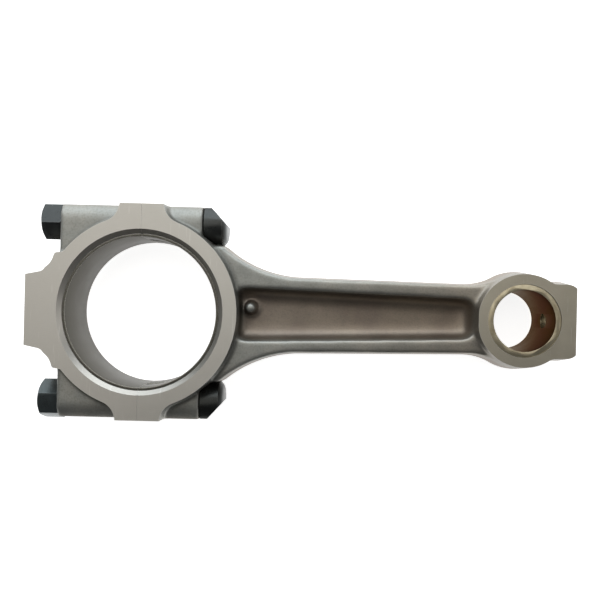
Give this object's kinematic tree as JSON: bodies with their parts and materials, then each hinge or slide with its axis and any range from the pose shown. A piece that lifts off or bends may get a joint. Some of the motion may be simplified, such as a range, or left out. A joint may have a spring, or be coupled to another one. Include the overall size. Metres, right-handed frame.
{
  "type": "connecting rod",
  "caption": "Forged I-beam connecting rod with a bolted big-end cap, split bearing shells and a bushed small end.",
  "frame": {"origin": "middle of the part's box in X and Y, at the side face that it rests on", "axes": "+X from the big end to the small end, +Z along both bores, +Y across the rod"},
  "size_m": [0.2126, 0.0872, 0.028],
  "materials": {
    "forged_steel": "shot-blasted forging with fine machined faces",
    "cap_steel": "shot-blasted forging with fine machined faces",
    "bronze": "bored bronze",
    "bearing_overlay": "matt grey overlay",
    "black_steel": "black oxide"
  },
  "bodies": {
    "rod": {"rod_body": "forged_steel", "small_end_bush": "bronze", "upper_bearing_shell": "bearing_overlay", "upper_rod_bolt": "black_steel", "lower_rod_bolt": "black_steel"},
    "cap": {"bearing_cap": "cap_steel", "lower_bearing_shell": "bearing_overlay"},
    "upper_nut": {"upper_rod_nut": "black_steel"},
    "lower_nut": {"lower_rod_nut": "black_steel"}
  },
  "joints": [
    {"name": "cap_slide", "type": "slide", "parent": "rod", "child": "cap", "axis": [-1, 0, 0], "range_m": [0, 0.048]},
    {"name": "upper_nut_spin", "type": "hinge", "parent": "cap", "child": "upper_nut", "pos_m": [-0.0997, 0.03602, 0.014], "axis": [-1, 0, 0], "range_deg": [0, 17281]},
    {"name": "lower_nut_spin", "type": "hinge", "parent": "cap", "child": "lower_nut", "pos_m": [-0.0997, -0.03558, 0.014], "axis": [-1, 0, 0], "range_deg": [0, 17281]}
  ],
  "couplings": [
    {"joint": "upper_nut_spin", "follows": "cap_slide", "rad_per_m": 6283.2},
    {"joint": "lower_nut_spin", "follows": "cap_slide", "rad_per_m": 6283.2}
  ]
}
